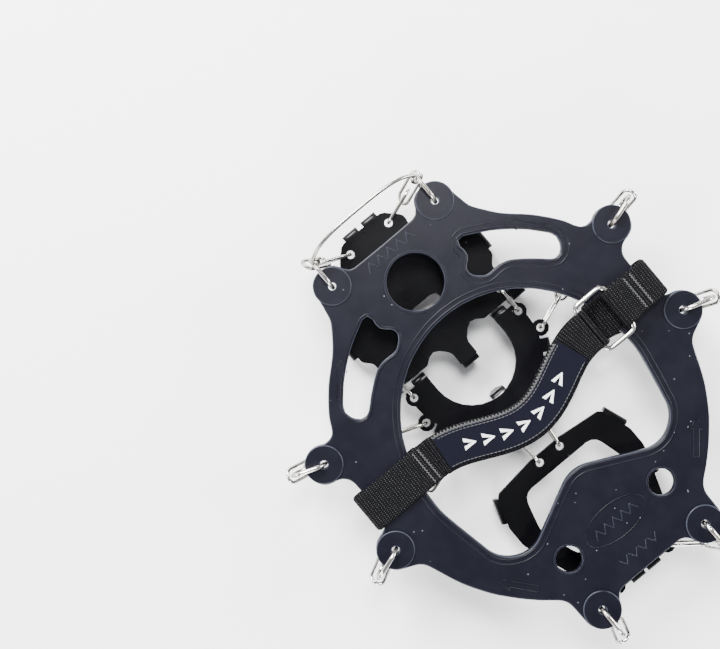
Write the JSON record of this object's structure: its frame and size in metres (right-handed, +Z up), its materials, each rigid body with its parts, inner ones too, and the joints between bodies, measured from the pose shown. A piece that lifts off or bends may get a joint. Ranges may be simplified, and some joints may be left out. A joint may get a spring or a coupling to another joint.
{
  "type": "boot microspikes",
  "caption": "Pull-on traction device for a hiking boot: rubber harness with eyelet rings, chain strands, spiked steel plates, lacing strap with wire buckle and a toe bail.",
  "frame": {"origin": "middle of the footprint, at the height of the spike tips", "axes": "+X to the right as worn, +Y towards the toe, +Z up"},
  "size_m": [0.2024, 0.2272, 0.043],
  "materials": {
    "rubber": "satin moulded elastomer",
    "steel_wire": "polished stainless wire",
    "black_steel": "glossy black coating",
    "webbing": "ribbed black webbing",
    "label_cloth": "navy woven label"
  },
  "bodies": {
    "harness": {"harness": "rubber", "lacing_strap": "webbing", "buckle_loop": "webbing"},
    "ball_plate": {"ball_plate": "black_steel", "link_toe_ball_right": "steel_wire", "link_toe_ball_left": "steel_wire", "link_ball_heel_right": "steel_wire", "link_ball_heel_left": "steel_wire"},
    "toe_plate": {"toe_plate": "black_steel"},
    "heel_plate": {"heel_plate": "black_steel"},
    "ring_front_right": {"ring_front_right": "steel_wire"},
    "strand_front_right": {"link_front_right_1": "steel_wire", "link_front_right_2": "steel_wire"},
    "ring_front_left": {"ring_front_left": "steel_wire"},
    "strand_front_left": {"link_front_left_1": "steel_wire", "link_front_left_2": "steel_wire"},
    "ring_toe_side_right": {"ring_toe_side_right": "steel_wire"},
    "strand_toe_side_right": {"link_toe_side_right_1": "steel_wire", "link_toe_side_right_2": "steel_wire", "link_toe_side_right_3": "steel_wire", "link_toe_side_right_4": "steel_wire", "link_toe_side_right_5": "steel_wire"},
    "ring_toe_side_left": {"ring_toe_side_left": "steel_wire"},
    "strand_toe_side_left": {"link_toe_side_left_1": "steel_wire", "link_toe_side_left_2": "steel_wire", "link_toe_side_left_3": "steel_wire", "link_toe_side_left_4": "steel_wire", "link_toe_side_left_5": "steel_wire"},
    "ring_heel_side_right": {"ring_heel_side_right": "steel_wire"},
    "strand_heel_side_right": {"link_heel_side_right_1": "steel_wire", "link_heel_side_right_2": "steel_wire", "link_heel_side_right_3": "steel_wire", "link_heel_side_right_4": "steel_wire", "link_heel_side_right_5": "steel_wire", "link_heel_side_right_6": "steel_wire"},
    "ring_heel_side_left": {"ring_heel_side_left": "steel_wire"},
    "strand_heel_side_left": {"link_heel_side_left_1": "steel_wire", "link_heel_side_left_2": "steel_wire", "link_heel_side_left_3": "steel_wire", "link_heel_side_left_4": "steel_wire", "link_heel_side_left_5": "steel_wire", "link_heel_side_left_6": "steel_wire"},
    "ring_rear_right": {"ring_rear_right": "steel_wire"},
    "strand_rear_right": {"link_rear_right_1": "steel_wire", "link_rear_right_2": "steel_wire"},
    "ring_rear_left": {"ring_rear_left": "steel_wire"},
    "strand_rear_left": {"link_rear_left_1": "steel_wire", "link_rear_left_2": "steel_wire"},
    "buckle": {"buckle": "steel_wire"},
    "strap_tail": {"strap_tail": "webbing", "woven_label": "label_cloth"},
    "toe_bail": {"toe_bail": "steel_wire"}
  },
  "joints": [
    {"name": "plates_drop", "type": "slide", "parent": "harness", "child": "ball_plate", "axis": [0, 0, -1], "range_m": [0, 0.002]},
    {"name": "toe_plate_drop", "type": "slide", "parent": "harness", "child": "toe_plate", "axis": [0, 0, -1], "range_m": [-0.0002, 0.0022]},
    {"name": "heel_plate_drop", "type": "slide", "parent": "harness", "child": "heel_plate", "axis": [0, 0, -1], "range_m": [-0.0002, 0.0022]},
    {"name": "ring_front_right_tilt", "type": "hinge", "parent": "harness", "child": "ring_front_right", "pos_m": [0.03, 0.09466, 0.0285], "axis": [1, 0, 0], "range_deg": [-9.5, 1]},
    {"name": "strand_front_right_swing", "type": "hinge", "parent": "toe_plate", "child": "strand_front_right", "pos_m": [0.009, 0.10116, 0.013], "axis": [0.3151, -0.9491, 0], "range_deg": [-0.5, 1.49]},
    {"name": "ring_front_left_tilt", "type": "hinge", "parent": "harness", "child": "ring_front_left", "pos_m": [-0.03, 0.09466, 0.0285], "axis": [1, 0, 0], "range_deg": [-9.5, 1]},
    {"name": "strand_front_left_swing", "type": "hinge", "parent": "toe_plate", "child": "strand_front_left", "pos_m": [-0.014, 0.10116, 0.013], "axis": [0.3994, 0.9168, 0], "range_deg": [-0.5, 1.74]},
    {"name": "ring_toe_side_right_tilt", "type": "hinge", "parent": "harness", "child": "ring_toe_side_right", "pos_m": [0.084, 0.03566, 0.0285], "axis": [0.3107, -0.9505, 0], "range_deg": [-9.5, 1]},
    {"name": "strand_toe_side_right_swing", "type": "hinge", "parent": "ball_plate", "child": "strand_toe_side_right", "pos_m": [0.032, 0.01866, 0.013], "axis": [0.3107, -0.9505, 0], "range_deg": [-0.5, 0.63]},
    {"name": "ring_toe_side_left_tilt", "type": "hinge", "parent": "harness", "child": "ring_toe_side_left", "pos_m": [-0.084, 0.03566, 0.0285], "axis": [0.3401, 0.9404, 0], "range_deg": [-9.5, 1]},
    {"name": "strand_toe_side_left_swing", "type": "hinge", "parent": "ball_plate", "child": "strand_toe_side_left", "pos_m": [-0.037, 0.01866, 0.013], "axis": [0.3401, 0.9404, 0], "range_deg": [-0.5, 0.64]},
    {"name": "ring_heel_side_right_tilt", "type": "hinge", "parent": "harness", "child": "ring_heel_side_right", "pos_m": [0.084, -0.01434, 0.0285], "axis": [-0.2892, -0.9573, 0], "range_deg": [-9.5, 1]},
    {"name": "strand_heel_side_right_swing", "type": "hinge", "parent": "ball_plate", "child": "strand_heel_side_right", "pos_m": [0.0231, 0.00406, 0.013], "axis": [-0.2892, -0.9573, 0], "range_deg": [-0.5, 0.62]},
    {"name": "ring_heel_side_left_tilt", "type": "hinge", "parent": "harness", "child": "ring_heel_side_left", "pos_m": [-0.084, -0.01434, 0.0285], "axis": [-0.3127, 0.9499, 0], "range_deg": [-9.5, 1]},
    {"name": "strand_heel_side_left_swing", "type": "hinge", "parent": "ball_plate", "child": "strand_heel_side_left", "pos_m": [-0.0281, 0.00406, 0.013], "axis": [-0.3127, 0.9499, 0], "range_deg": [-0.5, 0.62]},
    {"name": "ring_rear_right_tilt", "type": "hinge", "parent": "harness", "child": "ring_rear_right", "pos_m": [0.03, -0.09434, 0.0285], "axis": [-1, 0, 0], "range_deg": [-9.5, 1]},
    {"name": "strand_rear_right_swing", "type": "hinge", "parent": "heel_plate", "child": "strand_rear_right", "pos_m": [0.0125, -0.09614, 0.013], "axis": [-0.5833, -0.8122, 0], "range_deg": [-0.5, 1.38]},
    {"name": "ring_rear_left_tilt", "type": "hinge", "parent": "harness", "child": "ring_rear_left", "pos_m": [-0.03, -0.09434, 0.0285], "axis": [-1, 0, 0], "range_deg": [-9.5, 1]},
    {"name": "strand_rear_left_swing", "type": "hinge", "parent": "heel_plate", "child": "strand_rear_left", "pos_m": [-0.0175, -0.09614, 0.013], "axis": [-0.709, 0.7052, 0], "range_deg": [-0.5, 1.63]},
    {"name": "toe_bail_swing", "type": "hinge", "parent": "ring_front_left", "child": "toe_bail", "pos_m": [0, 0.10466, 0.0285], "axis": [1, 0, 0], "range_deg": [0, 40]},
    {"name": "tail_peel", "type": "hinge", "parent": "harness", "child": "strap_tail", "pos_m": [0.0442, 0.00616, 0.0394], "axis": [0, 1, 0], "range_deg": [0, 150]},
    {"name": "buckle_swing", "type": "hinge", "parent": "harness", "child": "buckle", "pos_m": [0.0616, 0.00616, 0.036], "axis": [0, 1, 0], "range_deg": [-1.5, 1.5]}
  ],
  "couplings": [
    {"joint": "toe_plate_drop", "follows": "plates_drop", "ratio": 1},
    {"joint": "heel_plate_drop", "follows": "plates_drop", "ratio": 1},
    {"joint": "ring_front_right_tilt", "follows": "plates_drop", "rad_per_m": -61.087},
    {"joint": "strand_front_right_swing", "follows": "plates_drop", "rad_per_m": 8.632},
    {"joint": "ring_front_left_tilt", "follows": "plates_drop", "rad_per_m": -61.087},
    {"joint": "strand_front_left_swing", "follows": "plates_drop", "rad_per_m": 10.865},
    {"joint": "ring_toe_side_right_tilt", "follows": "plates_drop", "rad_per_m": -61.087},
    {"joint": "strand_toe_side_right_swing", "follows": "plates_drop", "rad_per_m": 1.1634},
    {"joint": "ring_toe_side_left_tilt", "follows": "plates_drop", "rad_per_m": -61.087},
    {"joint": "strand_toe_side_left_swing", "follows": "plates_drop", "rad_per_m": 1.2602},
    {"joint": "ring_heel_side_right_tilt", "follows": "plates_drop", "rad_per_m": -61.087},
    {"joint": "strand_heel_side_right_swing", "follows": "plates_drop", "rad_per_m": 1.0146},
    {"joint": "ring_heel_side_left_tilt", "follows": "plates_drop", "rad_per_m": -61.087},
    {"joint": "strand_heel_side_left_swing", "follows": "plates_drop", "rad_per_m": 1.0894},
    {"joint": "ring_rear_right_tilt", "follows": "plates_drop", "rad_per_m": -61.087},
    {"joint": "strand_rear_right_swing", "follows": "plates_drop", "rad_per_m": 7.6432},
    {"joint": "ring_rear_left_tilt", "follows": "plates_drop", "rad_per_m": -61.087},
    {"joint": "strand_rear_left_swing", "follows": "plates_drop", "rad_per_m": 9.8237}
  ]
}
